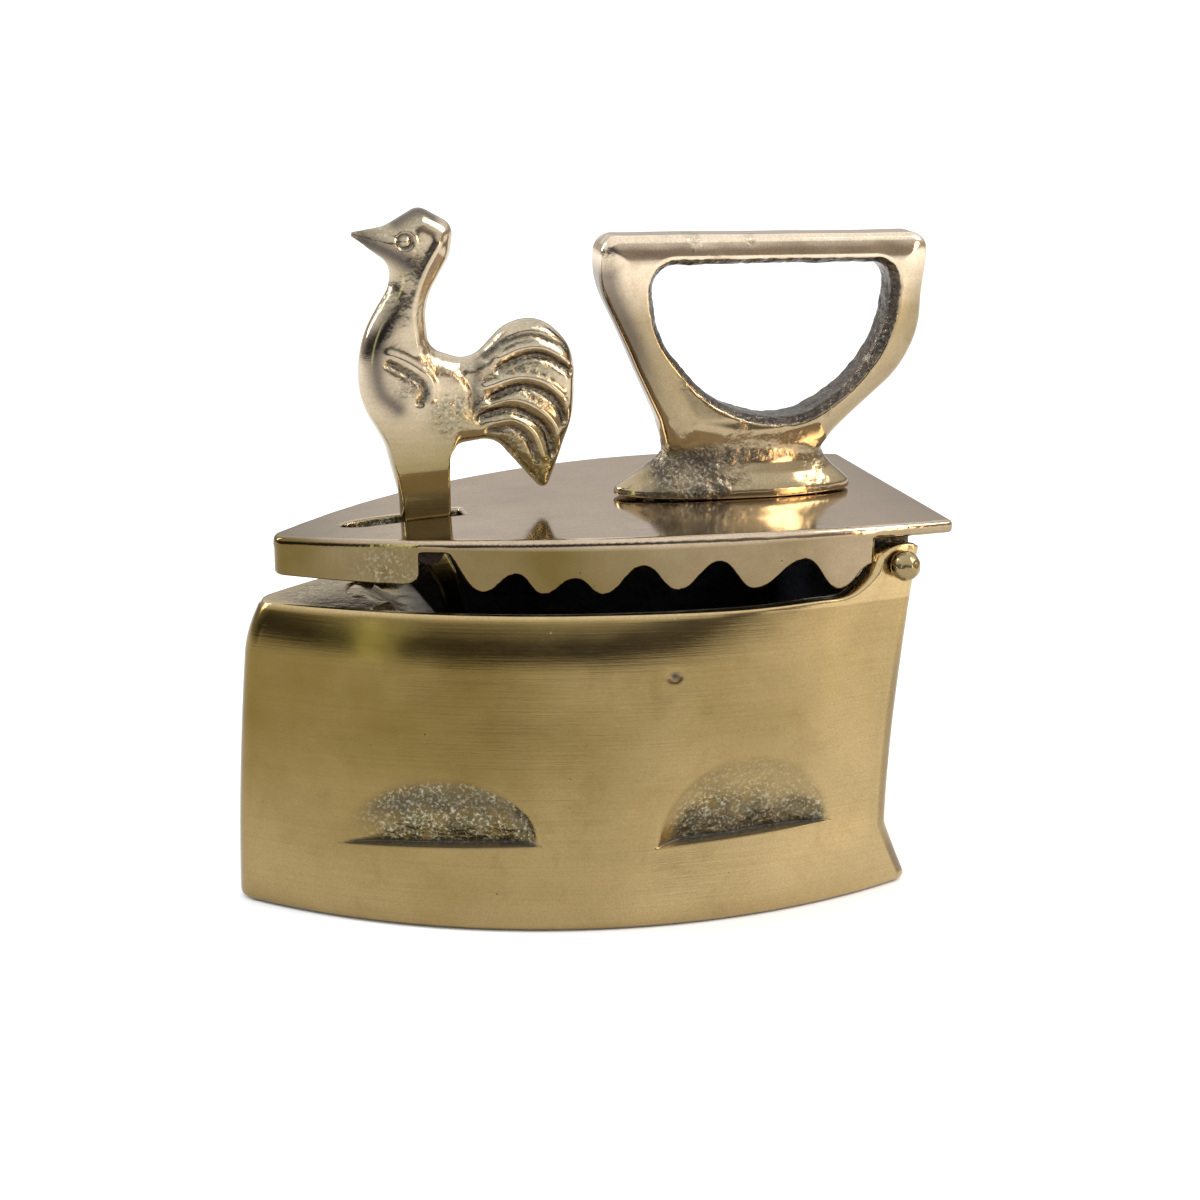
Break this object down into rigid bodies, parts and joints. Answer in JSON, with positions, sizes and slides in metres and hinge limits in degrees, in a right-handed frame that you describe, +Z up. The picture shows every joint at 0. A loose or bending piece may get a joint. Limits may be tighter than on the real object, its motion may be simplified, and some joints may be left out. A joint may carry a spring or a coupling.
{
  "type": "charcoal iron",
  "caption": "Small brass charcoal iron: boat-shaped firebox with a hinged scalloped lid, a looped handle and a rooster-shaped latch.",
  "frame": {"origin": "middle of the bounding box at the level of the sole's underside", "axes": "+Z up, nose towards -X, heel and hinge towards +X, +Y across the iron"},
  "size_m": [0.1328, 0.0746, 0.1258],
  "materials": {
    "firebox": "polished cast brass with fine sanding lines, rough and dark inside",
    "sole_plate": "ground flat and lightly polished",
    "sole_rivets": "ground flush below, dark inside",
    "grate": "rough and sooty",
    "steel_hardware": "turned steel, dulled by heat",
    "hinge_balls": "turned and polished",
    "lid": "polished with fine sanding lines, rough cast underneath",
    "handle": "mirror polished outside, rough cast inside the loop",
    "rooster_latch": "polished high spots, rough tarnished grooves"
  },
  "bodies": {
    "base": {"firebox": "firebox", "sole_plate": "sole_plate", "sole_rivet_1": "sole_rivets", "sole_rivet_2": "sole_rivets", "sole_rivet_3": "sole_rivets", "sole_rivet_4": "sole_rivets", "sole_rivet_5": "sole_rivets", "sole_rivet_6": "sole_rivets", "hinge_pin": "steel_hardware", "hinge_ball_left": "hinge_balls", "hinge_ball_right": "hinge_balls"},
    "grate": {"grate": "grate", "grate_leg_1": "grate", "grate_leg_2": "grate", "grate_leg_3": "grate"},
    "lid": {"lid": "lid", "handle": "handle", "handle_screw_front": "steel_hardware", "handle_screw_rear": "steel_hardware", "handle_washer_front": "steel_hardware", "handle_washer_rear": "steel_hardware", "latch_pin": "steel_hardware", "latch_washer_left": "steel_hardware", "latch_washer_right": "steel_hardware"},
    "latch": {"rooster_latch": "rooster_latch"}
  },
  "joints": [
    {"name": "lid_hinge", "type": "hinge", "parent": "base", "child": "lid", "pos_m": [0.051, 0, 0.0627], "axis": [0, 1, 0], "range_deg": [0, 95]},
    {"name": "latch_pivot", "type": "hinge", "parent": "lid", "child": "latch", "pos_m": [-0.03, 0, 0.065], "axis": [0, -1, 0], "range_deg": [-5, 32]},
    {"name": "grate_lift", "type": "slide", "parent": "base", "child": "grate", "axis": [0, 0, 1], "range_m": [0, 0.025]}
  ]
}
